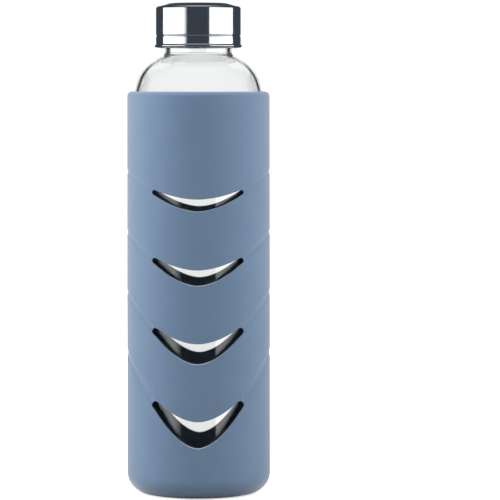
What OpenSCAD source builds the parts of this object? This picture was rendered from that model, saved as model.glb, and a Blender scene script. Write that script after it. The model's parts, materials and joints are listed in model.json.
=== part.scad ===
// Screw-capped glass water bottle in a wavy, windowed silicone sleeve.
// Millimetres, +Z up, origin at the centre of the base.

/* [Bottle] */
// Outer radius of the glass body
glass_r = 33.2; // [31:0.1:36]
// Wall thickness of the glass body
glass_wall = 1.8; // [1.4:0.1:2.6]
// Thickness of the glass floor beside the push-up
glass_floor = 4.5; // [3:0.5:7]
// Height at which the shoulder starts to curve in
shoulder_z = 193.5; // [150:0.5:230]

/* [Neck finish] */
// Outer radius of the neck
neck_r = 17; // [16.8:0.1:17.6]
// Radius of the bore
bore_r = 15; // [13.5:0.1:15.1]
// Height of the neck from its foot on the shoulder to the rim
neck_h = 20.5; // [20.2:0.1:21.5]
// Pitch of the thread, one turn of the cap
thread_pitch = 4.2; // [4:0.1:4.6]
// Height of the thread ridge above the neck
thread_h = 1.7; // [1.2:0.1:1.8]
// Turns of thread on the neck
thread_turns = 1.5; // [1.2:0.1:1.7]

/* [Sleeve] */
// Outer radius of the sleeve
sleeve_r = 36.2; // [35.4:0.1:39]
// Thickness of the sleeve's floor
sleeve_floor = 3; // [2:0.25:4]
// Radius of the sleeve's bottom corner
sleeve_corner = 10; // [6:0.5:11]
// Height of the sleeve's top edge above the start of the shoulder
sleeve_rise = 9.3; // [6:0.1:10]
// Radius of the sleeve's rounded top edge
sleeve_lip_r = 2.4; // [1.5:0.1:2.6]
// Depth of the wave grooves
groove_depth = 0.35; // [0.3:0.05:0.8]

/* [Waves] */
// Height of the top wave where it peaks at the sides
wave_top_z = 162.6; // [150:0.1:170]
// Spacing of the waves at the sides
wave_pitch = 30.45; // [28:0.05:32]
// How far the top wave dips from the sides to the front
wave_dip = 16; // [12:0.1:18]
// Growth of the dip from one wave to the next one down
wave_dip_growth = 1.341; // [1.2:0.001:1.35]
// Half height of the top window at its middle
window_half = 3; // [2:0.1:3.5]
// Growth of the window height from one wave to the next one down
window_growth = 1.305; // [1.1:0.005:1.35]
// Half width of the windows
window_reach = 23; // [18:0.1:25]
// Radius of the top window's round ends
window_tip_r = 1.17; // [0.8:0.01:1.5]
// Growth of the end radius from one wave to the next one down
window_tip_growth = 1.15; // [1:0.01:1.2]

/* [Cap] */
// Outer radius of the steel shell
cap_r = 21.46; // [21.2:0.01:22]
// Height of the cap
cap_h = 22.8; // [22.6:0.1:24]
// Thickness of the steel sheet
cap_sheet = 0.5; // [0.4:0.05:0.6]
// Radius of the rolled hem's outside above the shell
hem_proud = 0.64; // [0.4:0.01:0.9]
// Height of the roll groove above the cap's bottom edge
roll_z = 6.1; // [5:0.1:9]
// Depth of the roll groove
roll_depth = 0.3; // [0.2:0.05:0.4]

/* [Hidden] */
$fn = 96;

// Clearance between the sleeve and the glass
snug = 0.05;
// Overlap that keeps joined solids from meeting edge to edge
bite = 0.5;

// Glass: the shoulder is a wide arc, a tight arc and a cone, with a wall of even thickness
shoulder_wide_r = 45.8;
shoulder_tight_r = 16.8;
shoulder_turn = 20;
cone_slope = 30;
tight_centre = [glass_r - shoulder_wide_r, shoulder_z]
    + (shoulder_wide_r - shoulder_tight_r) * [cos(shoulder_turn), sin(shoulder_turn)];
inner_r = glass_r - glass_wall;
glass_corner = 8;
inner_corner = 7;
pushup_r = 22;
pushup_h = 2.2;
base_z = sleeve_floor;
floor_z = base_z + glass_floor;
outer_cone = cone_start(0);
inner_cone = cone_start(glass_wall);
neck_foot_z = outer_cone[1] + (outer_cone[0] - neck_r) * tan(cone_slope);
foot_fillet = 1.5;
fillet_r = neck_r + foot_fillet;
fillet_z = neck_foot_z - foot_fillet * tan(cone_slope) + foot_fillet / cos(cone_slope);
bore_fillet = 1.2;
bore_foot_z = inner_cone[1] + (inner_cone[0] - bore_r) * tan(cone_slope)
    + bore_fillet * (1 / cos(cone_slope) - tan(cone_slope));
rim_z = neck_foot_z + neck_h;
rim_round = 0.8;

// Screw threads: trapezoids swept round the neck and round the cap's insert
thread_root_w = 2.3;
thread_crest_w = 0.9;
thread_step = 10;
thread_fade = 40;
thread_below_rim = 4.2;
crest_clearance = 0.35;
root_clearance = 0.55;
glass_thread_z = rim_z - thread_below_rim - thread_turns * thread_pitch;
insert_turns = 1.25;
insert_major_r = neck_r + thread_h + crest_clearance;
insert_minor_r = neck_r + root_clearance;
insert_thread_z = glass_thread_z - thread_pitch / 2;

// Cap
cap_above_foot = 3.25;
cap_z = neck_foot_z + cap_above_foot;
cap_top_z = cap_z + cap_h;
shell_in_r = cap_r - cap_sheet;
crown_r = 15.2;
crown_sag = 0.45;
crown_arc_r = (crown_r * crown_r + crown_sag * crown_sag) / (2 * crown_sag);
bevel_drop = 2;
cap_corner = 1.2;
bevel_angle = 72;
bevel_to_corner = 0.7;
corner_z = cap_top_z - crown_sag - bevel_drop - bevel_to_corner;
inner_chamfer = 0.8;
hem_r = 0.95;
roll_half = 0.45;
insert_side_gap = 0.1;
insert_r = shell_in_r - insert_side_gap;
insert_recess = 2.1;
insert_z = cap_z + insert_recess;
insert_gap = 0.2;
stack_gap = 0.05;
seal_h = 1.55;
seal_z = rim_z + stack_gap;
seal_in_r = 13.8;
seal_side_gap = 0.65;
seal_out_r = insert_major_r - seal_side_gap;
disc_h = 0.6;
disc_z = seal_z + seal_h + stack_gap;
disc_side_gap = 0.25;
disc_r = insert_major_r - disc_side_gap;
ceiling_z = disc_z + disc_h + stack_gap;

// Sleeve
sleeve_top_z = shoulder_z + sleeve_rise;
sleeve_lean = 0.35;
sleeve_in_r = glass_r + snug;
sleeve_in_corner = glass_corner + snug;
foot_in_r = 18;
foot_recess = 0.8;
waves = 4;
wave_power = 1.82;
window_power = 1.7;
groove_steps = 24;
window_steps = 12;
tip_steps = 6;
through = 2 * sleeve_r + 10;

// Points on an arc, in equal steps from angle a to angle b
function arc(centre, r, a, b, steps) =
    [for (i = [0:steps]) centre + r * [cos(a + (b - a) * i / steps), sin(a + (b - a) * i / steps)]];

// Point where the tight shoulder arc runs into the cone, at a depth under the outer surface
function cone_start(depth) =
    tight_centre + (shoulder_tight_r - depth) * [sin(cone_slope), cos(cone_slope)];

// Wide arc and tight arc of the shoulder, from the body up to the cone
function shoulder(depth) = concat(
    arc([glass_r - shoulder_wide_r, shoulder_z], shoulder_wide_r - depth, 0, shoulder_turn, 8),
    [for (i = [1:8]) let (a = shoulder_turn + (90 - cone_slope - shoulder_turn) * i / 8)
        tight_centre + (shoulder_tight_r - depth) * [cos(a), sin(a)]]
);

// Height, dip, half height and end radius of wave k, counted down from the top
function side_z(k) = wave_top_z - k * wave_pitch;
function dip(k) = wave_dip * pow(wave_dip_growth, k);
function half_height(k) = window_half * pow(window_growth, k);
function tip_r(k) = window_tip_r * pow(window_tip_growth, k);

// Height of wave k where the sleeve's surface is s radii from its front-to-back plane
function wave_z(k, s) = side_z(k) - dip(k) * (1 - pow(abs(s), wave_power));

// Where a window's round end is centred, and how steeply the wave climbs there
function tip_x(k) = window_reach - tip_r(k);
function tip_slope(k) =
    atan(dip(k) * wave_power / sleeve_r * pow(tip_x(k) / sleeve_r, wave_power - 1));

// Half height of window k at x
function half_at(k, x) = let (end = tip_r(k) / cos(tip_slope(k)))
    end + (half_height(k) - end) * (1 - pow(abs(x) / tip_x(k), window_power));

// One long edge of window k, left to right: side 1 is the upper edge, side -1 the lower
function window_edge(k, side) =
    [for (i = [1 - window_steps:window_steps - 1]) let (x = tip_x(k) * i / window_steps)
        [x, wave_z(k, x / sleeve_r) + side * half_at(k, x)]];

// The right-hand round end of window k, from its lower edge to its upper edge
function window_tip(k) = arc(
    [tip_x(k), wave_z(k, tip_x(k) / sleeve_r)],
    tip_r(k), tip_slope(k) - 90, tip_slope(k) + 90, tip_steps
);

function reversed(list) = [for (i = [len(list) - 1:-1:0]) list[i]];
function mirrored(list) = [for (p = list) [-p[0], p[1]]];

function window_outline(k) = concat(
    window_edge(k, -1),
    window_tip(k),
    reversed(window_edge(k, 1)),
    reversed(mirrored(window_tip(k)))
);

// A groove seen from the side: the wave between the front and back window ends
function groove_edge(k, side) = let (reach = sqrt(sleeve_r * sleeve_r - window_reach * window_reach))
    [for (i = [0:groove_steps]) let (y = reach * (2 * i / groove_steps - 1))
        [y, wave_z(k, sqrt(1 - pow(y / sleeve_r, 2))) + side * tip_r(k)]];

// Trapezoid ridge wound round the Z axis, fading in and out at its ends.
// r is the wall that it stands on; h is its height, negative for a ridge that points inwards.
module thread_ridge(r, h, turns, z) {
    steps = ceil(turns * 360 / thread_step);
    out = h > 0 ? 1 : -1;
    function rise(i) = min(1, i * thread_step / thread_fade, (steps - i) * thread_step / thread_fade);
    function tip(i) = r - 0.2 * out + (h + 0.2 * out) * rise(i);
    function section(i) = [
        [r - out * bite, -out * thread_root_w / 2],
        [tip(i), -out * thread_crest_w / 2],
        [tip(i), out * thread_crest_w / 2],
        [r - out * bite, out * thread_root_w / 2]
    ];
    points = [for (i = [0:steps], p = section(i)) let (a = i * turns * 360 / steps)
        [p[0] * cos(a), p[0] * sin(a), z + turns * thread_pitch * i / steps + p[1]]];
    sides = [for (i = [0:steps - 1], j = [0:3], half = [0:1])
        let (a = 4 * i + j, b = 4 * i + (j + 1) % 4)
        half == 0 ? [a, b, b + 4] : [a, b + 4, a + 4]];
    ends = [[3, 2, 1], [3, 1, 0], [4 * steps, 4 * steps + 1, 4 * steps + 2],
        [4 * steps, 4 * steps + 2, 4 * steps + 3]];
    polyhedron(points, concat(sides, ends));
}

// Blown bottle: a pushed-up base, straight walls, a shoulder, and a neck with an outside screw
// thread and a rounded rim
module glass_bottle() {
    pushup_arc = (pushup_r * pushup_r + pushup_h * pushup_h) / (2 * pushup_h);
    pushup_angle = asin(pushup_r / pushup_arc);
    outside = concat(
        arc([0, base_z + pushup_h - pushup_arc], pushup_arc, 90, 90 - pushup_angle, 4),
        arc([glass_r - glass_corner, base_z + glass_corner], glass_corner, -90, 0, 8),
        shoulder(0),
        arc([fillet_r, fillet_z], foot_fillet, 270 - cone_slope, 180, 4),
        arc([neck_r - rim_round, rim_z - rim_round], rim_round, 0, 90, 4)
    );
    inside = concat(
        arc([bore_r + rim_round, rim_z - rim_round], rim_round, 90, 180, 4),
        arc([bore_r + bore_fillet, bore_foot_z], bore_fillet, 180, 270 - cone_slope, 5),
        reversed(shoulder(glass_wall)),
        arc([inner_r - inner_corner, floor_z + inner_corner], inner_corner, 0, -90, 8),
        [[0, floor_z]]
    );
    color("azure", 0.4)
        union() {
            rotate_extrude()
                polygon(concat(outside, inside));
            thread_ridge(neck_r, thread_h, thread_turns, glass_thread_z);
        }
}

// Stretch-fitted sleeve: a closed base, a rounded top edge that hugs the shoulder, four
// crescent windows front and back, and grooves that carry the window line round the sides
module silicone_sleeve() {
    hug_r = shoulder_wide_r + snug;
    lip_turn = asin((sleeve_top_z - shoulder_z) / hug_r);
    lip_r = sleeve_r - sleeve_lean - sleeve_lip_r;
    outside = concat(
        [[0, foot_recess], [foot_in_r, foot_recess], [foot_in_r + foot_recess, 0]],
        arc([sleeve_r - sleeve_corner, sleeve_corner], sleeve_corner, -90, 0, 10),
        arc([lip_r, sleeve_top_z - sleeve_lip_r], sleeve_lip_r, 0, 90, 6)
    );
    inside = concat(
        arc([glass_r - shoulder_wide_r, shoulder_z], hug_r, lip_turn, 0, 5),
        arc([glass_r - glass_corner, base_z + glass_corner], sleeve_in_corner, 0, -90, 8),
        [[0, base_z - snug]]
    );
    color("slategray")
        difference() {
            rotate_extrude()
                polygon(concat(outside, inside));
            for (k = [0:waves - 1])
                rotate([90, 0, 0])
                    linear_extrude(through, center = true)
                        polygon(window_outline(k));
            intersection() {
                for (k = [0:waves - 1])
                    rotate([90, 0, 90])
                        linear_extrude(through, center = true)
                            polygon(concat(groove_edge(k, -1), reversed(groove_edge(k, 1))));
                difference() {
                    cylinder(h = sleeve_top_z, r = sleeve_r + 1);
                    translate([0, 0, -1])
                        cylinder(h = sleeve_top_z + 2, r = sleeve_r - groove_depth);
                }
            }
        }
}

// Drawn steel shell: a crowned, bevelled top, a roll groove that locks it to the insert,
// and a rolled hem
module cap_shell() {
    function roll(r) = [
        [r, cap_z + roll_z + roll_half],
        [r - roll_depth, cap_z + roll_z + roll_half / 3],
        [r - roll_depth, cap_z + roll_z - roll_half / 3],
        [r, cap_z + roll_z - roll_half]
    ];
    crown = arc([0, cap_top_z - crown_arc_r], crown_arc_r, 90, 90 - asin(crown_r / crown_arc_r), 4);
    outside = concat(
        crown,
        arc([cap_r - cap_corner, corner_z], cap_corner, bevel_angle, 0, 5),
        roll(cap_r),
        arc([cap_r + hem_proud - hem_r, cap_z + hem_r], hem_r, 60, -90, 8)
    );
    inside = concat(
        [[shell_in_r, cap_z]],
        reversed(roll(shell_in_r)),
        [[shell_in_r, corner_z], [shell_in_r - inner_chamfer, corner_z + inner_chamfer]],
        [for (p = reversed(crown)) p - [0, cap_sheet]]
    );
    color("silver")
        rotate_extrude()
            polygon(concat(outside, inside));
}

// Moulded liner that fills the shell and carries the inside screw thread
module cap_thread_insert() {
    lead_in = 0.8;
    color("whitesmoke")
        union() {
            rotate_extrude()
                polygon([
                    [insert_major_r + lead_in, insert_z],
                    [insert_r, insert_z],
                    [insert_r, cap_z + roll_z - roll_half - 0.2],
                    [insert_r - roll_depth - 0.1, cap_z + roll_z - roll_half / 3 - 0.2],
                    [insert_r - roll_depth - 0.1, cap_z + roll_z + roll_half / 3 + 0.2],
                    [insert_r, cap_z + roll_z + roll_half + 0.2],
                    [insert_r, corner_z - insert_gap],
                    [insert_r - inner_chamfer, corner_z - insert_gap + inner_chamfer],
                    [crown_r, cap_top_z - crown_sag - cap_sheet - insert_gap],
                    [0, cap_top_z - crown_sag - cap_sheet - insert_gap],
                    [0, ceiling_z],
                    [insert_major_r, ceiling_z],
                    [insert_major_r, insert_z + lead_in]
                ]);
            thread_ridge(insert_major_r, insert_minor_r - insert_major_r, insert_turns, insert_thread_z);
        }
}

// Flat steel disc against the insert's ceiling, so that only steel faces the drink
module cap_inner_disc() {
    color("lightgray")
        translate([0, 0, disc_z])
            cylinder(h = disc_h, r = disc_r);
}

// Silicone ring between the disc and the glass rim
module cap_seal() {
    edge = 0.3;
    color("gainsboro")
        rotate_extrude()
            polygon([
                [seal_in_r + edge, seal_z],
                [seal_out_r - edge, seal_z],
                [seal_out_r, seal_z + edge],
                [seal_out_r, seal_z + seal_h - edge],
                [seal_out_r - edge, seal_z + seal_h],
                [seal_in_r + edge, seal_z + seal_h],
                [seal_in_r, seal_z + seal_h - edge],
                [seal_in_r, seal_z + edge]
            ]);
}

glass_bottle();
silicone_sleeve();
cap_shell();
cap_thread_insert();
cap_inner_disc();
cap_seal();
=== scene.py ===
import json
import math

import bmesh
import bpy
import numpy as np
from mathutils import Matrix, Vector


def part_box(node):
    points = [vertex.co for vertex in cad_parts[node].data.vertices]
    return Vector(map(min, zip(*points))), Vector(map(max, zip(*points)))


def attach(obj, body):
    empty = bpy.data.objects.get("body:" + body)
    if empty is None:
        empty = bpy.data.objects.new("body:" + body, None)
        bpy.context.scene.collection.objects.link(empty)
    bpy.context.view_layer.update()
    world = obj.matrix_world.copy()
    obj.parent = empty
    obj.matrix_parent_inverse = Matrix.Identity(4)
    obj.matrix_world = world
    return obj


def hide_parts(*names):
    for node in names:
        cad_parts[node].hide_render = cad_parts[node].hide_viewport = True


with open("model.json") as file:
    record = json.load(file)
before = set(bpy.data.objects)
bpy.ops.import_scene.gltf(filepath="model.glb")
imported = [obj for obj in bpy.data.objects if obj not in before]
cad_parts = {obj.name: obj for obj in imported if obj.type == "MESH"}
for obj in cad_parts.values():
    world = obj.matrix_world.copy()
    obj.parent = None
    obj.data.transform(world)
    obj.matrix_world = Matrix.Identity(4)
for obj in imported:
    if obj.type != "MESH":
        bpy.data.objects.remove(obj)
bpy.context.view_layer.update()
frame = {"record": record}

# Looks of the glass bottle, its silicone sleeve and its steel screw cap, built around the CAD frame.
# Outlines are in millimetres, as radius and height, and the meshes are in metres.
MM = 0.001
# Clearance between pieces that lie against each other
SNUG = 0.05
# Lengths and angles that differ by less than this count as the same
TINY = 1e-6


def span(node):
    """Outer radius, lowest and highest point of a round CAD node, in millimetres."""
    low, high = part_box(node)
    return high.x / MM, low.z / MM, high.z / MM


GLASS_R, GLASS_BASE_Z, RIM_Z = span("glass_bottle")
SLEEVE_R, SLEEVE_BASE_Z, SLEEVE_TOP_Z = span("silicone_sleeve")
HEM_R, CAP_Z, CAP_TOP_Z = span("cap_shell")
INSERT_R, INSERT_Z, INSERT_TOP_Z = span("cap_thread_insert")
DISC_R, DISC_Z, DISC_TOP_Z = span("cap_inner_disc")
SEAL_R, SEAL_Z, SEAL_TOP_Z = span("cap_seal")

# Glass
GLASS_WALL = 1.8
GLASS_FLOOR = 4.5
SLEEVE_RISE = 9.3
SHOULDER_Z = SLEEVE_TOP_Z - SLEEVE_RISE
SHOULDER_WIDE = 45.8
SHOULDER_TIGHT = 16.8
SHOULDER_TURN = 20
CONE_SLOPE = 30
GLASS_CORNER = 8
INNER_CORNER = 7
PUSHUP_R = 22
PUSHUP_H = 2.2
NECK_H = 20.5
NECK_R = 17
BORE_R = 15
FOOT_FILLET = 1.5
BORE_FILLET = 1.2
RIM_ROUND = 0.8
NECK_FOOT_Z = RIM_Z - NECK_H

# Screw threads
PITCH = 4.2
THREAD_H = 1.7
THREAD_ROOT = 2.3
THREAD_CREST = 0.9
THREAD_FADE = 40
THREAD_BELOW_RIM = 4.2
CREST_CLEARANCE = 0.35
ROOT_CLEARANCE = 0.55
GLASS_TURNS = 1.5
INSERT_TURNS = 1.25
GLASS_THREAD_Z = RIM_Z - THREAD_BELOW_RIM - GLASS_TURNS * PITCH
INSERT_THREAD_Z = GLASS_THREAD_Z - PITCH / 2
INSERT_MAJOR_R = NECK_R + THREAD_H + CREST_CLEARANCE
INSERT_MINOR_R = NECK_R + ROOT_CLEARANCE

# Cap
HEM_PROUD = 0.64
HEM_TUBE = 0.95
CAP_R = HEM_R - HEM_PROUD
CAP_SHEET = 0.5
ROLL_RISE = 6.1
ROLL_Z = CAP_Z + ROLL_RISE
ROLL_DEPTH = 0.3
ROLL_HALF = 0.45
CROWN_R = 15.2
CROWN_SAG = 0.45
# The bevel meets the round corner at this angle, and its points run towards this place, which
# is out and up from the corner's centre
BEVEL_TURN = 72
BEVEL_FOOT = (0.37, 1.14)
CAP_CORNER = 1.2
CORNER_DROP = 3.15
CORNER_Z = CAP_TOP_Z - CORNER_DROP

# Sleeve
SLEEVE_IN_R = GLASS_R + SNUG
SLEEVE_CORNER = 10
SLEEVE_LIP = 2.4
SLEEVE_LEAN = 0.35
FOOT_IN_R = 18
FOOT_RECESS = 0.8
EDGE_ROUND = 0.25

# Waves and windows, counted down from the top
WAVES = 4
WAVE_TOP_Z = 162.6
WAVE_PITCH = 30.45
WAVE_POWER = 1.82
WAVE_DIP = 16
WAVE_DIP_GROWTH = 1.341
WINDOW_REACH = 23
WINDOW_POWER = 1.7
WINDOW_HALF = 3
WINDOW_GROWTH = 1.305
TIP_R = 1.17
TIP_GROWTH = 1.15

# Grooves round the sides. Their flat and their slope are in tip radii, above and below the wave
GROOVE_DEPTH = 0.35
GROOVE_FLAT = (0.6, 0.5)
GROOVE_SLOPE = (0.5, 0.9)
GROOVE_RUN_IN = 1.2


def dip(k):
    """How far wave k dips from the sides to the front."""
    return WAVE_DIP * WAVE_DIP_GROWTH**k


def half_height(k):
    """Half the height of window k at its middle."""
    return WINDOW_HALF * WINDOW_GROWTH**k


def tip_radius(k):
    """Radius of window k's round ends."""
    return TIP_R * TIP_GROWTH**k


# ---- outlines ----

# Share of a side that one fillet may take up, and share of what is left that its support may
FILLET_SHARE = 0.45
SUPPORT_SHARE = 0.3


def arc(centre, r, start, end, steps):
    """Points on an arc between two angles in degrees."""
    t = np.radians(np.linspace(start, end, steps + 1))
    return np.column_stack([centre[0] + r * np.cos(t), centre[1] + r * np.sin(t)])


def line(start, end, steps):
    """Points on a straight line, without its two ends."""
    t = np.linspace(0, 1, steps + 1)[1:-1, None]
    return np.array(start) * (1 - t) + np.array(end) * t


def rounded(corners, closed=False, steps=5, support=0.35):
    """Outline through corners given as (radius, height, fillet), each turned into an arc that has
    a support point on either side. An open outline keeps its two ends."""
    points = np.array([c[:2] for c in corners], float)
    count = len(points)
    out = []
    for i, (x, z, fillet) in enumerate(corners):
        if not closed and i in (0, count - 1):
            out.append([(x, z)])
            continue
        here = points[i]
        back, ahead = points[i - 1] - here, points[(i + 1) % count] - here
        back_len, ahead_len = np.linalg.norm(back), np.linalg.norm(ahead)
        back, ahead = back / back_len, ahead / ahead_len
        half = math.acos(np.clip(back @ ahead, -1, 1)) / 2
        reach = min(fillet / math.tan(half), FILLET_SHARE * min(back_len, ahead_len))
        centre = here + (back + ahead) / np.linalg.norm(back + ahead) * reach / math.cos(half)
        first, last = here + back * reach - centre, here + ahead * reach - centre
        a, b = math.atan2(first[1], first[0]), math.atan2(last[1], last[0])
        b += math.tau * round((a - b) / math.tau)
        turn = np.linspace(a, b, steps + 1)
        r = np.linalg.norm(first)
        bend = np.column_stack([centre[0] + r * np.cos(turn), centre[1] + r * np.sin(turn)])
        out.append([bend[0] + back * min(support, SUPPORT_SHARE * (back_len - reach))])
        out.append(bend)
        out.append([bend[-1] + ahead * min(support, SUPPORT_SHARE * (ahead_len - reach))])
    return np.concatenate(out)


def shoulder(depth):
    """Wide arc and tight arc of the shoulder, from the body up to the cone, at a depth under the
    glass's outer surface."""
    centre = np.array([GLASS_R - SHOULDER_WIDE, SHOULDER_Z])
    turn = math.radians(SHOULDER_TURN)
    step = (SHOULDER_WIDE - SHOULDER_TIGHT) * np.array([math.cos(turn), math.sin(turn)])
    return np.concatenate([
        arc(centre, SHOULDER_WIDE - depth, 0, SHOULDER_TURN, 14),
        arc(centre + step, SHOULDER_TIGHT - depth, SHOULDER_TURN, 90 - CONE_SLOPE, 14)[1:],
    ])


# ---- meshes ----

# Edges that turn by more than this many degrees stay sharp
SHARP_TURN = 50


def finished_mesh(name, points, faces, material):
    """A smooth-shaded object from points in millimetres, its faces turned outwards."""
    mesh = bpy.data.meshes.new(name)
    mesh.from_pydata([tuple(p) for p in np.asarray(points) * MM], [], faces)
    work = bmesh.new()
    work.from_mesh(mesh)
    bmesh.ops.recalc_face_normals(work, faces=work.faces)
    work.to_mesh(mesh)
    work.free()
    mesh.shade_smooth()
    mesh.set_sharp_from_angle(angle=math.radians(SHARP_TURN))
    mesh.materials.append(material)
    piece = bpy.data.objects.new(name, mesh)
    bpy.context.scene.collection.objects.link(piece)
    return piece


def spun(name, outline, columns, material, closed=False, shape=None):
    """Spins an outline round Z. An open one starts and ends on the axis. shape may change the
    radii, as a function of the angle in degrees, the radius and the height."""
    angles = np.arange(columns) * 360 / columns
    points, rows = [], []
    for r, z in outline:
        if r < TINY:
            rows.append([len(points)] * columns)
            points.append((0, 0, z))
            continue
        radii = np.full(columns, r) if shape is None else shape(angles, r, z)
        rows.append(list(range(len(points), len(points) + columns)))
        turn = np.radians(angles)
        points.extend(zip(radii * np.cos(turn), radii * np.sin(turn), np.full(columns, z)))
    pairs = list(zip(rows, rows[1:]))
    if closed:
        pairs.append((rows[-1], rows[0]))
    faces = [f for low, high in pairs for f in strip(low, high)]
    return finished_mesh(name, points, faces, material)


def strip(low, high):
    """Faces between two rows of point numbers, with triangles where a row shrinks to one point."""
    faces = []
    for i in range(len(low)):
        j = (i + 1) % len(low)
        face = list(dict.fromkeys((low[i], low[j], high[j], high[i])))
        if len(face) > 2:
            faces.append(face)
    return faces


def smooth(t):
    """A soft step from 0 to 1."""
    t = np.clip(t, 0, 1)
    return t * t * (3 - 2 * t)


def thread_rise(angles, z, start_z, turns):
    """Share of the full thread height at a height z, round the neck. It fades in and out."""
    rise = np.zeros_like(angles)
    for turn in range(math.ceil(turns) + 1):
        along = angles / 360 + turn
        fade = smooth(np.minimum(along, turns - along) * 360 / THREAD_FADE)
        off = np.abs(z - start_z - PITCH * along)
        across = smooth((THREAD_ROOT / 2 - off) / ((THREAD_ROOT - THREAD_CREST) / 2))
        rise = np.maximum(rise, fade * across)
    return rise


def fillet_rise(fillet):
    """Height of a fillet's centre above the corner that it rounds, at the foot of the neck."""
    slope = math.radians(CONE_SLOPE)
    return fillet * (1 / math.cos(slope) - math.tan(slope))


def glass_outside():
    """From the middle of the push-up, up the wall and the neck, and over half of the rim."""
    pushup_arc = (PUSHUP_R**2 + PUSHUP_H**2) / (2 * PUSHUP_H)
    pushup_turn = math.degrees(math.asin(PUSHUP_R / pushup_arc))
    corner_z = GLASS_BASE_Z + GLASS_CORNER
    fillet_z = NECK_FOOT_Z + fillet_rise(FOOT_FILLET)
    round_z = RIM_Z - RIM_ROUND
    thread_rows = np.linspace(GLASS_THREAD_Z - THREAD_ROOT, round_z, 40)[:-1]
    return np.concatenate([
        arc((0, GLASS_BASE_Z + PUSHUP_H - pushup_arc), pushup_arc, 90, 90 - pushup_turn, 10),
        arc((GLASS_R - GLASS_CORNER, corner_z), GLASS_CORNER, -90, 0, 12),
        line((GLASS_R, corner_z), (GLASS_R, SHOULDER_Z), 24),
        shoulder(0),
        arc((NECK_R + FOOT_FILLET, fillet_z), FOOT_FILLET, 270 - CONE_SLOPE, 180, 8),
        line((NECK_R, fillet_z), (NECK_R, GLASS_THREAD_Z - THREAD_ROOT), 8),
        np.column_stack([np.full_like(thread_rows, NECK_R), thread_rows]),
        arc((NECK_R - RIM_ROUND, round_z), RIM_ROUND, 0, 90, 6),
    ])


def glass_inside():
    """From the top of the rim, down the bore and the wall, to the middle of the floor."""
    inner_r = GLASS_R - GLASS_WALL
    floor_z = GLASS_BASE_Z + GLASS_FLOOR
    corner_z = floor_z + INNER_CORNER
    cone_r, cone_z = shoulder(GLASS_WALL)[-1]
    foot_z = cone_z + (cone_r - BORE_R) * math.tan(math.radians(CONE_SLOPE))
    fillet_z = foot_z + fillet_rise(BORE_FILLET)
    round_z = RIM_Z - RIM_ROUND
    return np.concatenate([
        arc((BORE_R + RIM_ROUND, round_z), RIM_ROUND, 90, 180, 6),
        line((BORE_R, round_z), (BORE_R, fillet_z), 8),
        arc((BORE_R + BORE_FILLET, fillet_z), BORE_FILLET, 180, 270 - CONE_SLOPE, 8),
        shoulder(GLASS_WALL)[::-1],
        line((inner_r, SHOULDER_Z), (inner_r, corner_z), 24),
        arc((inner_r - INNER_CORNER, corner_z), INNER_CORNER, 0, -90, 10),
        line((inner_r - INNER_CORNER, floor_z), (0, floor_z), 6),
        [(0, floor_z)],
    ])


def build_glass(material):
    """The bottle, with its screw thread raised from the neck's rows."""
    outline = np.concatenate([glass_outside(), glass_inside()])

    def with_thread(angles, r, z):
        on_neck = abs(r - NECK_R) < TINY
        rise = thread_rise(angles, z, GLASS_THREAD_Z, GLASS_TURNS)
        return r + THREAD_H * rise * on_neck

    return spun("bottle_glass", outline, 192, material, shape=with_thread)


def roll_dent(z):
    """Depth of the roll groove in the cap's shell at a height."""
    return ROLL_DEPTH / 2 * (1 + np.cos(np.pi * np.clip((z - ROLL_Z) / ROLL_HALF, -1, 1)))


def shell_wall(r, low, high):
    """Shell wall from its top down, with the roll groove."""
    z = np.concatenate([
        np.linspace(high, ROLL_Z + ROLL_HALF, 8)[:-1],
        np.linspace(ROLL_Z + ROLL_HALF, ROLL_Z - ROLL_HALF, 13),
        np.linspace(ROLL_Z - ROLL_HALF, low, 4)[1:],
    ])
    return np.column_stack([r - roll_dent(z), z])


def crown(drop):
    """Top of the shell, from the axis out, as far below its outside as drop."""
    r = (CROWN_R**2 + CROWN_SAG**2) / (2 * CROWN_SAG)
    turn = math.degrees(math.asin(CROWN_R / r))
    return arc((0, CAP_TOP_Z - r), r - drop, 90, 90 - turn, 12)


def build_cap_shell(material):
    """Drawn steel: crown, bevel, round corner, wall with a roll groove, and a curled hem. The
    hem's arc stops a few degrees short of the wall at both ends."""
    inner_r = CAP_R - CAP_SHEET
    hem = (HEM_R - HEM_TUBE, CAP_Z + HEM_TUBE)
    outer_turn = math.degrees(math.acos((CAP_R - hem[0]) / HEM_TUBE))
    inner_turn = math.degrees(math.acos((inner_r - hem[0]) / HEM_TUBE))
    wall_z = hem[1] + HEM_TUBE * math.sin(math.radians(outer_turn))
    turn_gap = 8
    corner_at = np.array([CAP_R - CAP_CORNER, CORNER_Z])
    bevel_foot = corner_at + BEVEL_FOOT
    corner = arc(corner_at, CAP_CORNER, BEVEL_TURN, 0, 10)
    inside_corner = arc(corner_at, CAP_CORNER - CAP_SHEET, 0, BEVEL_TURN, 6)
    outline = np.concatenate([
        crown(0),
        line(crown(0)[-1], bevel_foot, 6),
        corner,
        shell_wall(CAP_R, wall_z, CORNER_Z)[1:],
        arc(hem, HEM_TUBE, outer_turn - turn_gap, inner_turn - 360 + turn_gap, 28),
        shell_wall(inner_r, wall_z, CORNER_Z)[::-1],
        inside_corner[1:],
        crown(CAP_SHEET)[::-1],
    ])
    return spun("steel_shell", outline, 256, material)


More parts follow.
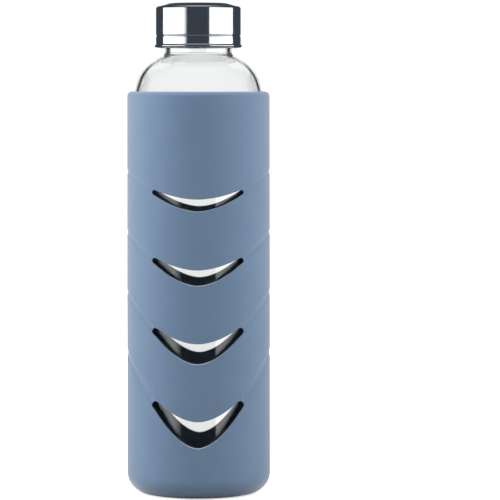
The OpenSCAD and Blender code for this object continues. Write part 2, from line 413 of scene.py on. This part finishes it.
def build_insert(material):
    """Moulded liner: a skirt with an inside screw thread under a solid top. Its waist clears
    the shell's roll groove."""
    soft, crisp = 0.6, 0.2
    lead_in = 0.8
    corner_gap = 0.2
    top_edge_z = CORNER_Z - corner_gap
    waist_gap = 0.1
    waist_r = INSERT_R - ROLL_DEPTH - waist_gap
    waist_half, waist_reach = 0.4, 0.8
    ceiling_z = DISC_TOP_Z + SNUG
    outline = rounded([
        (0, INSERT_TOP_Z, 0),
        (CROWN_R, INSERT_TOP_Z, soft),
        (INSERT_R - lead_in, top_edge_z + lead_in, soft),
        (INSERT_R, top_edge_z, soft),
        (INSERT_R, ROLL_Z + waist_reach, crisp),
        (waist_r, ROLL_Z + waist_half, crisp),
        (waist_r, ROLL_Z - waist_half, crisp),
        (INSERT_R, ROLL_Z - waist_reach, crisp),
        (INSERT_R, INSERT_Z, 0.3),
        (INSERT_MAJOR_R + lead_in, INSERT_Z, crisp),
        (INSERT_MAJOR_R, INSERT_Z + lead_in, crisp),
        (INSERT_MAJOR_R, ceiling_z, 0.05),
        (0, ceiling_z, 0),
    ], steps=4, support=0.25)
    bore = np.flatnonzero(np.abs(outline[:, 0] - INSERT_MAJOR_R) < TINY)
    rows = line(outline[bore[0]], outline[bore[-1]], 56)
    outline = np.concatenate([outline[:bore[0] + 1], rows, outline[bore[-1]:]])

    def with_thread(angles, r, z):
        in_bore = abs(r - INSERT_MAJOR_R) < TINY
        rise = thread_rise(angles, z, INSERT_THREAD_Z, INSERT_TURNS)
        return r - (INSERT_MAJOR_R - INSERT_MINOR_R) * rise * in_bore

    return spun("thread_insert", outline, 160, material, shape=with_thread)


def build_disc(material):
    """Flat disc with rounded edges."""
    edge = 0.15
    outline = rounded([
        (0, DISC_TOP_Z, 0), (DISC_R, DISC_TOP_Z, edge), (DISC_R, DISC_Z, edge), (0, DISC_Z, 0)
    ], steps=3)
    return spun("inner_disc", outline, 128, material)


def build_seal(material):
    """Flat ring with rounded edges."""
    edge = 0.4
    inner_r = 13.8
    outline = rounded([
        (inner_r, SEAL_Z, edge), (SEAL_R, SEAL_Z, edge), (SEAL_R, SEAL_TOP_Z, edge),
        (inner_r, SEAL_TOP_Z, edge)
    ], closed=True)
    return spun("sealing_ring", outline, 128, material, closed=True)


# ---- sleeve ----

# Where columns start to crowd towards the window tips, and where they lie just past the tips
CROWD_FROM = 18.5
PAST_TIP = np.array([0.04, 0.13, 0.27, 0.48, 0.78, 1.2, 1.8, 2.6])
# Distances from the window edges at which rows lie
EDGE_STEPS = np.array([0, 0.06, 0.14, 0.26, 0.4, 0.6, 0.9, 1.3, 1.8, 2.4, 3.2])
# Share of the way to a tip's centre at which a window's long edge hands over to the tip's arc
TIP_HANDOVER = 0.96
# Length over which the rows past a tip settle onto the wave
ROW_SETTLE = 1.5


def wave_z(k, x):
    """Height of wave k where the sleeve's surface is x from its front-to-back plane."""
    return WAVE_TOP_Z - k * WAVE_PITCH - dip(k) * (1 - (np.abs(x) / SLEEVE_R) ** WAVE_POWER)


def tip_x(k):
    """Distance of window k's tip centres from the front-to-back plane."""
    return WINDOW_REACH - tip_radius(k)


def tip_slope(k):
    """Slope of wave k at its window's tips, in degrees."""
    rise = (tip_x(k) / SLEEVE_R) ** (WAVE_POWER - 1)
    return math.degrees(math.atan(dip(k) * WAVE_POWER / SLEEVE_R * rise))


def window_edge(k, side):
    """Points of window k's edge from its middle to its tip: side 1 is the upper edge."""
    end = tip_radius(k) / math.cos(math.radians(tip_slope(k)))
    x = np.linspace(0, TIP_HANDOVER * tip_x(k), 60)
    half = end + (half_height(k) - end) * (1 - (x / tip_x(k)) ** WINDOW_POWER)
    centre = (tip_x(k), wave_z(k, tip_x(k)))
    return np.concatenate([
        np.column_stack([x, wave_z(k, x) + side * half]),
        arc(centre, tip_radius(k), tip_slope(k) + side * 90, 0, 24),
    ])


def edge_line(k, side, x):
    """Height of window k's upper or lower edge at x. Past the tip both run on along the wave."""
    edge = window_edge(k, side)
    past = np.maximum(np.abs(x) - WINDOW_REACH, 0)
    step = wave_z(k, WINDOW_REACH) - edge[-1, 1]
    inside = np.interp(np.abs(x), edge[:, 0], edge[:, 1])
    return np.where(past > 0, wave_z(k, x) - step * np.exp(-past / ROW_SETTLE), inside)


def sleeve_columns():
    """Angles from the front, in radians, of the sleeve's columns in one quarter. They crowd
    together at the window tips."""
    near = np.sin(np.linspace(0, np.pi / 2, 15))[1:]
    x_near = CROWD_FROM + (WINDOW_REACH - CROWD_FROM) * near
    past = np.arcsin((WINDOW_REACH + PAST_TIP) / SLEEVE_R)
    return np.concatenate([
        np.linspace(0, math.asin(CROWD_FROM / SLEEVE_R), 17),
        np.arcsin(x_near / SLEEVE_R),
        past,
        np.linspace(past[-1], np.pi / 2, 24)[1:],
    ])


def all_round(quarter):
    """The quarter's angles repeated, by mirroring, all round the sleeve."""
    half = np.concatenate([quarter, np.pi - quarter[-2::-1]])
    return np.concatenate([half, half[1:-1] + np.pi])


def from_plane(angles):
    """Angle between each column and the front-to-back plane."""
    return np.arcsin(np.abs(np.sin(angles)))


def inner_angles(angles):
    """Angles on the sleeve's inside that keep the same x across the windows, so that the
    window walls run straight from front to back."""
    tip = math.asin(WINDOW_REACH / SLEEVE_R)
    tip_in = math.asin(WINDOW_REACH / SLEEVE_IN_R)
    outer = from_plane(angles)
    across = np.arcsin(np.clip(np.sin(outer) * SLEEVE_R / SLEEVE_IN_R, 0, 1))
    past = tip_in + (outer - tip) * (np.pi / 2 - tip_in) / (np.pi / 2 - tip)
    moved = np.where(outer <= tip, across, past)
    return angles + np.sign(np.tan(angles + TINY)) * (moved - outer)


def edge_distance(k, angles, z):
    """Distance over the sleeve's surface from points to the edge of window k."""
    along = SLEEVE_R * from_plane(angles)
    edges = np.concatenate([window_edge(k, 1), window_edge(k, -1)[::-1]])
    edges[:, 0] = SLEEVE_R * np.arcsin(edges[:, 0] / SLEEVE_R)
    nearest = np.full(along.shape, np.inf)
    for (a, b), (da, db) in zip(edges, np.diff(edges, axis=0)):
        size = da * da + db * db
        if size < TINY**2:
            continue
        t = np.clip(((along - a) * da + (z - b) * db) / size, 0, 1)
        nearest = np.minimum(nearest, np.hypot(along - a - t * da, z - b - t * db))
    return nearest


def groove_dent(k, angles, z):
    """Depth of the groove that carries window k's line round the sides. Its upper side is
    steeper than its lower one."""
    sine = np.abs(np.sin(angles))
    steep = dip(k) * WAVE_POWER / SLEEVE_R * sine ** (WAVE_POWER - 1) * np.abs(np.cos(angles))
    off = (z - wave_z(k, SLEEVE_R * sine)) / np.sqrt(1 + steep**2) / tip_radius(k)
    upper, lower = (
        1 - smooth((side - flat) / slope)
        for side, flat, slope in zip((off, -off), GROOVE_FLAT, GROOVE_SLOPE)
    )
    begun = smooth((SLEEVE_R * sine - WINDOW_REACH + GROOVE_RUN_IN) / GROOVE_RUN_IN)
    return GROOVE_DEPTH * np.where(off > 0, upper, lower) * begun


def edge_dent(distance):
    """How far the surface sinks towards a window's rounded edge."""
    left = np.clip(EDGE_ROUND - distance, 0, EDGE_ROUND)
    return EDGE_ROUND - np.sqrt(EDGE_ROUND**2 - left**2)


def rows_between(low, high, from_edge, to_edge, middle=5):
    """Heights of rows between two lines of heights, crowded at the lines that are edges."""
    below = EDGE_STEPS if from_edge else EDGE_STEPS[:1]
    above = EDGE_STEPS if to_edge else EDGE_STEPS[:1]
    first, last = low + below[-1], high - above[-1]
    rows = [low + step for step in below]
    rows += [first + (last - first) * i / middle for i in range(1, middle)]
    rows += [high - step for step in above[::-1]]
    return rows


class Grid:
    """Rows of points round the sleeve, joined by faces as they are added. inside holds the
    columns' angles on the inner wall, x how far they are from the front-to-back plane, and
    is_open whether windows cut through them."""

    def __init__(self):
        self.angles = all_round(sleeve_columns())
        self.inside = inner_angles(self.angles)
        self.x = SLEEVE_R * np.abs(np.sin(self.angles))
        self.is_open = self.x < WINDOW_REACH - TINY
        self.points = []
        self.faces = []
        self.last = None

    def row(self, radius, z, angles=None, shift=0.0, weld=None):
        """Adds a row and returns its point numbers. Where weld is given and isn't -1, it names
        points to use again. shift moves points towards the front-to-back mid plane."""
        angles = self.angles if angles is None else angles
        radius, z, shift = (np.broadcast_to(v, angles.shape) for v in (radius, z, shift))
        x = radius * np.sin(angles)
        y = -radius * np.cos(angles)
        y = y - np.sign(y) * shift
        numbers = []
        for i in range(len(angles)):
            if weld is not None and weld[i] >= 0:
                numbers.append(weld[i])
                continue
            numbers.append(len(self.points))
            self.points.append((x[i], y[i], z[i]))
        return numbers

    def join(self, numbers):
        """Faces from the last row to this one, which becomes the last row."""
        if self.last is not None:
            self.faces += strip(self.last, numbers)
        self.last = numbers
        return numbers

    def pole(self, z):
        """Closes the grid with a point on the axis."""
        self.points.append((0, 0, z))
        return self.join([len(self.points) - 1] * len(self.angles))


def sleeve_wall_radius(z):
    """Outside of the sleeve's wall, which leans in a little towards the top."""
    low, high = SLEEVE_CORNER, SLEEVE_TOP_Z - SLEEVE_LIP
    return SLEEVE_R - SLEEVE_LEAN * (z - low) / (high - low)


def outer_row(grid, z, weld=None):
    """A row on the sleeve's outside, sunk into the grooves and rounded at the window edges."""
    angles = grid.angles
    sink = np.zeros_like(angles)
    dent = np.zeros_like(angles)
    for k in range(WAVES):
        sink = np.maximum(sink, edge_dent(edge_distance(k, angles, z)))
        dent = np.maximum(dent, groove_dent(k, angles, z))
    shift = np.maximum(sink - dent, 0) / np.maximum(np.abs(np.cos(angles)), 0.5)
    return grid.row(sleeve_wall_radius(z) - dent, z, shift=shift, weld=weld)


def window_wall(grid, outer, inner):
    """Faces through the sleeve's thickness along one edge of a pair of windows, with a row of
    points close to the outside."""
    outer_share = 0.8
    count = len(outer)
    middle = []
    for i in range(count):
        near, far = np.array(grid.points[outer[i]]), np.array(grid.points[inner[i]])
        middle.append(len(grid.points))
        grid.points.append(tuple(near * outer_share + far * (1 - outer_share)))
    for i in range(count):
        j = (i + 1) % count
        if grid.is_open[i] or grid.is_open[j]:
            grid.faces.append((outer[i], outer[j], middle[j], middle[i]))
            grid.faces.append((middle[i], middle[j], inner[j], inner[i]))


def add_foot(grid):
    """Recessed base, foot ring and bottom corner."""
    base = rounded([
        (0, FOOT_RECESS, 0), (FOOT_IN_R, FOOT_RECESS, 0.6),
        (FOOT_IN_R + FOOT_RECESS, SLEEVE_BASE_Z, 0.5), (SLEEVE_R - SLEEVE_CORNER, SLEEVE_BASE_Z, 0)
    ])
    corner = arc((SLEEVE_R - SLEEVE_CORNER, SLEEVE_CORNER), SLEEVE_CORNER, -90, 0, 16)
    grid.pole(base[0][1])
    for r, z in np.concatenate([base[1:-1], corner[:-1]]):
        grid.join(grid.row(r, z))


def add_outer_wall(grid):
    """Outside of the wall, from the bottom corner up to the lip. Returns the rows along the
    lower and upper edge of each window."""
    edges = {}
    low = np.full_like(grid.angles, SLEEVE_CORNER)
    for k in reversed(range(WAVES)):
        lowest = k == WAVES - 1
        rows = rows_between(low, edge_line(k, -1, grid.x), not lowest, True)
        for z in rows if lowest else rows[1:]:
            lower = grid.join(outer_row(grid, z))
        low = edge_line(k, 1, grid.x)
        grid.last = outer_row(grid, low, weld=np.where(grid.is_open, -1, lower))
        edges[k] = (lower, grid.last)
    lip_z = np.full_like(grid.angles, SLEEVE_TOP_Z - SLEEVE_LIP)
    for z in rows_between(low, lip_z, True, False, middle=8)[1:]:
        grid.join(outer_row(grid, z))
    return edges


def add_lip(grid):
    """Rounded top edge, and the inside of the sleeve where it hugs the shoulder."""
    lip_z = SLEEVE_TOP_Z - SLEEVE_LIP
    lip_r = SLEEVE_R - SLEEVE_LEAN - SLEEVE_LIP
    hug_r = SHOULDER_WIDE + SNUG
    lip_turn = math.degrees(math.asin((SLEEVE_TOP_Z - SHOULDER_Z) / hug_r))
    hug = arc((GLASS_R - SHOULDER_WIDE, SHOULDER_Z), hug_r, lip_turn, 0, 8)
    edge = 0.3
    for r, z in arc((lip_r, lip_z), SLEEVE_LIP, 0, 90, 8)[1:]:
        grid.join(grid.row(r, z))
    for r, z in arc((hug[0][0] + edge, SLEEVE_TOP_Z - edge), edge, 90, 160, 4):
        grid.join(grid.row(r, z))
    for r, z in hug[1:]:
        grid.join(grid.row(r, z, grid.inside))


def add_inner_wall(grid, edges):
    """Inside of the wall, from the shoulder down to the floor, and the walls of the windows."""
    def wall_row(z, weld=None):
        return grid.row(SLEEVE_IN_R, z, grid.inside, weld=weld)

    high = np.full_like(grid.angles, SHOULDER_Z)
    for k in range(WAVES):
        upper_z, lower_z = edge_line(k, 1, grid.x), edge_line(k, -1, grid.x)
        for step in (1 / 3, 2 / 3):
            grid.join(wall_row(high + (upper_z - high) * step))
        upper = grid.join(wall_row(upper_z))
        grid.last = wall_row(lower_z, np.where(grid.is_open, -1, upper))
        window_wall(grid, edges[k][1], upper)
        window_wall(grid, edges[k][0], grid.last)
        high = lower_z
    corner_z = GLASS_BASE_Z + GLASS_CORNER
    for step in (1 / 3, 2 / 3):
        grid.join(wall_row(high + (corner_z - high) * step))
    for r, z in arc((GLASS_R - GLASS_CORNER, corner_z), GLASS_CORNER + SNUG, 0, -90, 8):
        grid.join(grid.row(r, z, grid.inside))
    grid.pole(GLASS_BASE_Z - SNUG)


def build_sleeve(material):
    """Closed base, windowed wall, rounded top edge that hugs the shoulder, and the inside."""
    grid = Grid()
    add_foot(grid)
    edges = add_outer_wall(grid)
    add_lip(grid)
    add_inner_wall(grid, edges)
    return finished_mesh("silicone_cover", grid.points, grid.faces, material)


# ---- materials ----


def new_material(name):
    """A material, its node tree and its shader."""
    material = bpy.data.materials.new(name)
    material.use_nodes = True
    return material, material.node_tree, material.node_tree.nodes["Principled BSDF"]


def place(tree):
    """The point on the piece, in metres."""
    return tree.nodes.new("ShaderNodeTexCoord").outputs["Object"]


def noise(tree, size, detail=2.0, vector=None):
    """Noise whose grains are about size millimetres."""
    node = tree.nodes.new("ShaderNodeTexNoise")
    node.inputs["Scale"].default_value = 1 / (size * MM)
    node.inputs["Detail"].default_value = detail
    tree.links.new(place(tree) if vector is None else vector, node.inputs["Vector"])
    return node.outputs["Fac"]


def ranged(tree, value, low, high, start=0.3, end=0.7):
    """value from start to end, stretched to run from low to high."""
    node = tree.nodes.new("ShaderNodeMapRange")
    tree.links.new(value, node.inputs["Value"])
    for name, number in (("From Min", start), ("From Max", end), ("To Min", low), ("To Max", high)):
        node.inputs[name].default_value = number
    return node.outputs["Result"]


def blended(tree, factor, first, second):
    """A colour that runs from the first to the second as factor runs from 0 to 1."""
    node = tree.nodes.new("ShaderNodeMix")
    node.data_type = "RGBA"
    tree.links.new(factor, node.inputs["Factor"])
    node.inputs[6].default_value = (*first, 1)
    node.inputs[7].default_value = (*second, 1)
    return node.outputs[2]


def coloured(tree, shader, factor, first, second):
    """Gives the shader a base colour that varies between two colours."""
    tree.links.new(blended(tree, factor, first, second), shader.inputs["Base Color"])


def roughened(tree, shader, value, low, high):
    """Gives the shader a roughness that varies between two numbers."""
    tree.links.new(ranged(tree, value, low, high), shader.inputs["Roughness"])


def bumped(tree, shader, height, depth, after=None):
    """Feeds the shader's normal with bumps of a depth in millimetres, on top of earlier bumps
    if they are given."""
    node = tree.nodes.new("ShaderNodeBump")
    node.inputs["Distance"].default_value = depth * MM
    tree.links.new(height, node.inputs["Height"])
    if after is not None:
        tree.links.new(after, node.inputs["Normal"])
    tree.links.new(node.outputs["Normal"], shader.inputs["Normal"])
    return node.outputs["Normal"]


def vector_node(tree, operation, first, second=None):
    """A Vector Math node fed by one or two sockets."""
    node = tree.nodes.new("ShaderNodeVectorMath")
    node.operation = operation
    tree.links.new(first, node.inputs[0])
    if second is not None:
        tree.links.new(second, node.inputs[1])
    return node


def parts_of(tree, vector):
    """The three parts of a vector."""
    split = tree.nodes.new("ShaderNodeSeparateXYZ")
    tree.links.new(vector, split.inputs[0])
    return split.outputs


def vector_of(tree, **parts):
    """A vector with some of its parts x, y and z fed by sockets, and the others 0."""
    node = tree.nodes.new("ShaderNodeCombineXYZ")
    for name, socket in parts.items():
        tree.links.new(socket, node.inputs[name.upper()])
    return node.outputs[0]


def turned(tree, squeeze):
    """Coordinates in which noise turns into fine rings round Z: radius and height as they are,
    and the direction squeezed."""
    x, y, z = parts_of(tree, place(tree))
    flat = vector_of(tree, x=x, y=y)
    radius = vector_node(tree, "LENGTH", flat).outputs["Value"]
    unit = vector_node(tree, "NORMALIZE", flat).outputs[0]
    small = vector_node(tree, "SCALE", unit)
    small.inputs["Scale"].default_value = squeeze * MM
    rings = vector_of(tree, x=radius, z=z)
    return vector_node(tree, "ADD", small.outputs[0], rings).outputs[0]


def sleeve_silicone():
    """Matte slate-blue silicone: faint mottling, a fine moulded grain and a soft sheen."""
    material, tree, shader = new_material("sleeve_silicone")
    mottle = ranged(tree, noise(tree, 14, 3), 0, 1)
    coloured(tree, shader, mottle, (0.128, 0.198, 0.302), (0.137, 0.209, 0.316))
    roughened(tree, shader, noise(tree, 3, 3), 0.56, 0.66)
    soft = bumped(tree, shader, noise(tree, 2.2, 1), 0.006)
    bumped(tree, shader, noise(tree, 0.22, 2), 0.004, after=soft)
    shader.inputs["IOR"].default_value = 1.41
    shader.inputs["Sheen Weight"].default_value = 0.65
    shader.inputs["Sheen Roughness"].default_value = 0.45
    return material


def clear_glass():
    """Clear glass, with the slight waves of a moulded wall."""
    material, tree, shader = new_material("clear_glass")
    coloured(tree, shader, noise(tree, 30), (0.985, 0.995, 0.99), (0.99, 1, 0.995))
    bumped(tree, shader, noise(tree, 9, 1), 0.012)
    shader.inputs["Roughness"].default_value = 0.0
    shader.inputs["IOR"].default_value = 1.52
    shader.inputs["Transmission Weight"].default_value = 1
    return material


def cap_steel():
    """Polished stainless sheet with fine turned lines and a few soft smears."""
    material, tree, shader = new_material("cap_steel")
    lines = noise(tree, 0.12, 3, turned(tree, 0.6))
    smears = noise(tree, 7, 3)
    coloured(tree, shader, smears, (0.7, 0.71, 0.73), (0.76, 0.765, 0.775))
    roughened(tree, shader, smears, 0.07, 0.12)
    bumped(tree, shader, lines, 0.0006)
    shader.inputs["Metallic"].default_value = 1
    return material


def disc_steel():
    """Stainless sheet brushed in rings."""
    material, tree, shader = new_material("disc_steel")
    lines = noise(tree, 0.2, 4, turned(tree, 0.4))
    coloured(tree, shader, lines, (0.6, 0.61, 0.62), (0.74, 0.745, 0.75))
    roughened(tree, shader, lines, 0.24, 0.36)
    bumped(tree, shader, lines, 0.004)
    shader.inputs["Metallic"].default_value = 1
    return material


def insert_plastic():
    """Natural white polypropylene with a slightly uneven moulded surface."""
    material, tree, shader = new_material("insert_plastic")
    coloured(tree, shader, noise(tree, 6, 3), (0.76, 0.76, 0.73), (0.82, 0.82, 0.79))
    roughened(tree, shader, noise(tree, 1.5, 3), 0.38, 0.5)
    bumped(tree, shader, noise(tree, 0.6, 2), 0.006)
    shader.inputs["IOR"].default_value = 1.49
    shader.inputs["Subsurface Weight"].default_value = 0.15
    shader.inputs["Subsurface Radius"].default_value = (0.002, 0.002, 0.0016)
    return material


def seal_silicone():
    """Milky silicone with a satin skin."""
    material, tree, shader = new_material("seal_silicone")
    coloured(tree, shader, noise(tree, 5, 2), (0.72, 0.74, 0.73), (0.79, 0.8, 0.79))
    roughened(tree, shader, noise(tree, 1, 2), 0.42, 0.55)
    bumped(tree, shader, noise(tree, 0.4, 2), 0.004)
    shader.inputs["IOR"].default_value = 1.41
    shader.inputs["Subsurface Weight"].default_value = 0.4
    shader.inputs["Subsurface Radius"].default_value = (0.003, 0.003, 0.003)
    return material


# ---- studio ----

# Lengths are in metres. Angles are in degrees round Z, from the camera's side towards +X, and
# a direction's height is the sine of its angle above the level.

# Soft boxes that light the bottle, and the white panels that its polished surfaces mirror
SOFTBOXES = (("left_panel", (-113, -43), 5.75), ("right_panel", (42, 110), 4.6))
SOFTBOX_AWAY = 1.0
SOFTBOX_LOW = 0.3
SOFTBOX_HIGH = 1.6
LEFT_MIRRORED = (-109, -36)
RIGHT_MIRRORED = (31, 107)
MIRRORED_GLOW = 1.9
DARK_GLOW = 0.085

# Dark flags: the angle from straight ahead at which they start, for light that went straight
# through the glass and for light that bounced in it, then how far they reach in the direction's
# y, how tall they are, and how much of the middle they leave clear
FLAG_START = 19
BOUNCED_FLAG_START = 22
FLAG_REACH = 0.6
FLAG_HALF_HEIGHT = 0.38
FLAG_CLEAR_MIDDLE = 0.15

PAPER_WHITE = 1.05
MOST_BOUNCES = 32
FLOOR_R = 1.3
CAMERA_AT = (0.0196, -1.405, 0.203)
CAMERA_AIM = (0.026, 0, 0.1227)
LENS = 200.2
SENSOR = 36


def math_node(tree, operation, first, second=None):
    """A Math node fed by sockets or numbers."""
    node = tree.nodes.new("ShaderNodeMath")
    node.operation = operation
    for socket, value in zip(node.inputs, (first, second)):
        if value is None:
            continue
        if isinstance(value, (int, float)):
            socket.default_value = value
        else:
            tree.links.new(value, socket)
    return node.outputs[0]


def pick(tree, chooser, otherwise, chosen):
    """chosen where chooser is 1, and otherwise where it is 0."""
    keep = math_node(tree, "MULTIPLY", otherwise, math_node(tree, "SUBTRACT", 1.0, chooser))
    return math_node(tree, "ADD", keep, math_node(tree, "MULTIPLY", chosen, chooser))


def step_up(tree, value, edge, soft):
    """0 below edge and 1 above it, with a soft change that wide."""
    return ranged(tree, value, 0, 1, edge - soft / 2, edge + soft / 2)


def between(tree, value, low, high, low_soft, high_soft):
    """1 between two edges and 0 outside them, each with its own softness."""
    inside = math_node(tree, "SUBTRACT", 1.0, step_up(tree, value, high, high_soft))
    return math_node(tree, "MULTIPLY", step_up(tree, value, low, low_soft), inside)


def near_level(tree, z, reach, soft):
    """1 for directions up to a height above or below the level, and 0 for the others."""
    return between(tree, z, -reach, reach, soft, soft)


def mirrored_room(tree, x, y, z, ahead):
    """What polished surfaces mirror: a dark room with two white panels at the height of the
    bottle, a faint glow high overhead and a narrow white strip behind."""
    turn = math_node(tree, "ARCTAN2", x, math_node(tree, "MULTIPLY", y, -1.0))
    left = between(tree, turn, *map(math.radians, LEFT_MIRRORED), 0.02, 0.22)
    right = between(tree, turn, *map(math.radians, RIGHT_MIRRORED), 0.02, 0.02)
    strip_half = math.radians(14)
    behind = step_up(tree, ahead, math.cos(strip_half), 0.01)
    panels = math_node(tree, "MULTIPLY", math_node(tree, "MAXIMUM", left, right), MIRRORED_GLOW)
    bright = math_node(tree, "MAXIMUM", panels, behind)
    bright = math_node(tree, "MULTIPLY", bright, near_level(tree, z, 0.2, 0.05))
    overhead = math_node(tree, "MULTIPLY", step_up(tree, z, 0.85, 0.2), 0.5)
    return math_node(tree, "ADD", DARK_GLOW, math_node(tree, "MAXIMUM", bright, overhead))


def dark_flags(tree, x, z, facing, bounced):
    """1 on the dark flags. They stand to the sides, clear of straight ahead, of the middle of
    the view and of directions far above or below the level."""
    starts = (math.cos(math.radians(angle)) for angle in (FLAG_START, BOUNCED_FLAG_START))
    past = math_node(tree, "SUBTRACT", pick(tree, bounced, *starts), facing)
    flags = between(tree, past, 0.0, FLAG_REACH, 0.01, 0.1)
    sideways = step_up(tree, math_node(tree, "ABSOLUTE", x), FLAG_CLEAR_MIDDLE, 0.04)
    flags = math_node(tree, "MULTIPLY", flags, sideways)
    return math_node(tree, "MULTIPLY", flags, near_level(tree, z, FLAG_HALF_HEIGHT, 0.08))


def white_room(tree, x, y, z, bounced):
    """What is seen through the glass: a white room, a little darker below the level and lighter
    to the sides, so that the outermost edge of the glass stays clear. Dark flags draw the
    inside of the glass as a thin line."""
    facing = math_node(tree, "ABSOLUTE", y)
    flags = dark_flags(tree, x, z, facing, bounced)
    tone = ranged(tree, z, 0.92, 1.0, -0.09, -0.01)
    edge_glow = pick(tree, bounced, ranged(tree, facing, 1.3, 1.0, 0.95, 1.0), 1.15)
    room = math_node(tree, "MULTIPLY", tone, edge_glow)
    return math_node(tree, "MULTIPLY", room, math_node(tree, "SUBTRACT", 1.0, flags))


def seen_in_glass(tree, x, y, z, ahead, mirrored):
    """What is seen through the glass, and the mirrored room where light has bounced in it and
    comes back to the camera's side."""
    path = tree.nodes.new("ShaderNodeLightPath")
    bounced = math_node(tree, "MINIMUM", path.outputs["Glossy Depth"], 1.0)
    back = step_up(tree, math_node(tree, "MULTIPLY", ahead, -1.0), 0.0, 0.02)
    back = math_node(tree, "MULTIPLY", back, near_level(tree, z, 0.22, 0.06))
    inner_mirror = math_node(tree, "MULTIPLY", bounced, back)
    return pick(tree, inner_mirror, white_room(tree, x, y, z, bounced), mirrored)


def build_world():
    """The room round the bottle, as polished surfaces, glass and matt surfaces each see it."""
    world = bpy.data.worlds.new("studio")
    bpy.context.scene.world = world
    world.use_nodes = True
    tree = world.node_tree
    direction = tree.nodes.new("ShaderNodeTexCoord").outputs["Generated"]
    x, y, z = parts_of(tree, direction)
    square = math_node(tree, "MULTIPLY", z, z)
    level = math_node(tree, "SQRT", math_node(tree, "SUBTRACT", 1.0, square))
    ahead = math_node(tree, "DIVIDE", y, math_node(tree, "MAXIMUM", level, 0.001))
    mirrored = mirrored_room(tree, x, y, z, ahead)
    through = seen_in_glass(tree, x, y, z, ahead, mirrored)
    glow = ranged(tree, ahead, 0.06, 0.75, 0.1, 0.6)
    path = tree.nodes.new("ShaderNodeLightPath")
    for ray, seen in (("Glossy", mirrored), ("Transmission", through), ("Camera", PAPER_WHITE)):
        glow = pick(tree, path.outputs[f"Is {ray} Ray"], glow, seen)
    background = tree.nodes["Background"]
    lit = ranged(tree, glow, 0, 1, 0.06, 0.6)
    tree.links.new(blended(tree, lit, (0.56, 0.72, 0.95), (1, 1, 1)), background.inputs["Color"])
    tree.links.new(glow, background.inputs["Strength"])


def build_softbox(name, angles, glow):
    """A soft box that fills the directions between two angles, seen from the bottle."""
    middle = math.radians(sum(angles) / 2)
    data = bpy.data.lights.new(name, "AREA")
    data.shape = "RECTANGLE"
    data.size = 2 * SOFTBOX_AWAY * math.tan(math.radians((angles[1] - angles[0]) / 2))
    data.size_y = SOFTBOX_HIGH - SOFTBOX_LOW
    data.energy = glow * math.pi * data.size * data.size_y
    softbox = bpy.data.objects.new(name, data)
    away = Vector((math.sin(middle), -math.cos(middle), 0))
    softbox.location = away * SOFTBOX_AWAY + Vector((0, 0, (SOFTBOX_LOW + SOFTBOX_HIGH) / 2))
    softbox.rotation_mode = "QUATERNION"
    softbox.rotation_quaternion = away.to_track_quat("Z", "Y")
    softbox.visible_camera = False
    softbox.visible_glossy = False
    softbox.visible_transmission = False
    bpy.context.scene.collection.objects.link(softbox)


def floor_paint():
    """Pale paper, lit up to the white of the room where the camera sees it. To matt surfaces it
    is darker, so that it does not light the bottle too much from below."""
    material, tree, shader = new_material("pale_floor")
    path = tree.nodes.new("ShaderNodeLightPath")
    shade = ranged(tree, path.outputs["Is Diffuse Ray"], 0.86, 0.45, 0, 1)
    tint = tree.nodes.new("ShaderNodeCombineColor")
    for socket in tint.inputs[:3]:
        tree.links.new(shade, socket)
    tree.links.new(tint.outputs[0], shader.inputs["Base Color"])
    shader.inputs["Roughness"].default_value = 0.9
    shader.inputs["Specular IOR Level"].default_value = 0.1
    shader.inputs["Emission Color"].default_value = (1, 1, 1, 1)
    lit = math_node(tree, "MULTIPLY", path.outputs["Is Camera Ray"], 0.55)
    tree.links.new(lit, shader.inputs["Emission Strength"])
    return material


def build_floor():
    """A round floor, which neither polished surfaces nor the glass see."""
    rings = [(r, 0.0) for r in np.linspace(0, FLOOR_R / MM, 14)]
    floor = spun("floor", rings, 96, floor_paint())
    floor.data.flip_normals()
    floor.visible_glossy = False
    floor.visible_transmission = False


def build_camera():
    """A long lens a little below the neck's height, looking slightly down and to the right."""
    data = bpy.data.cameras.new("camera")
    data.sensor_width = SENSOR
    data.lens = LENS
    camera = bpy.data.objects.new("camera", data)
    camera.location = CAMERA_AT
    aim = Vector(CAMERA_AIM) - camera.location
    camera.rotation_mode = "QUATERNION"
    camera.rotation_quaternion = aim.to_track_quat("-Z", "Y")
    bpy.context.scene.collection.objects.link(camera)
    bpy.context.scene.camera = camera


# ---- the object ----

PIECES = [
    (build_glass, clear_glass, "glass_bottle", "clear_glass"),
    (build_sleeve, sleeve_silicone, "silicone_sleeve", "sleeve_silicone"),
    (build_cap_shell, cap_steel, "cap_shell", "cap_steel"),
    (build_insert, insert_plastic, "cap_thread_insert", "insert_plastic"),
    (build_disc, disc_steel, "cap_inner_disc", "disc_steel"),
    (build_seal, seal_silicone, "cap_seal", "seal_silicone"),
]


def body_of(node):
    """Name of the CAD body that a node belongs to."""
    bodies = frame["record"]["behaviour"]["bodies"]
    return next(body for body, nodes in bodies.items() if node in nodes)


for build, paint, node, slot in PIECES:
    piece = build(paint())
    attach(piece, body_of(node))
    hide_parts(node)

build_camera()
build_world()
build_floor()
for softbox in SOFTBOXES:
    build_softbox(*softbox)
bpy.context.scene.view_settings.view_transform = "Standard"
paths = bpy.context.scene.cycles
paths.max_bounces = paths.glossy_bounces = paths.transmission_bounces = MOST_BOUNCES
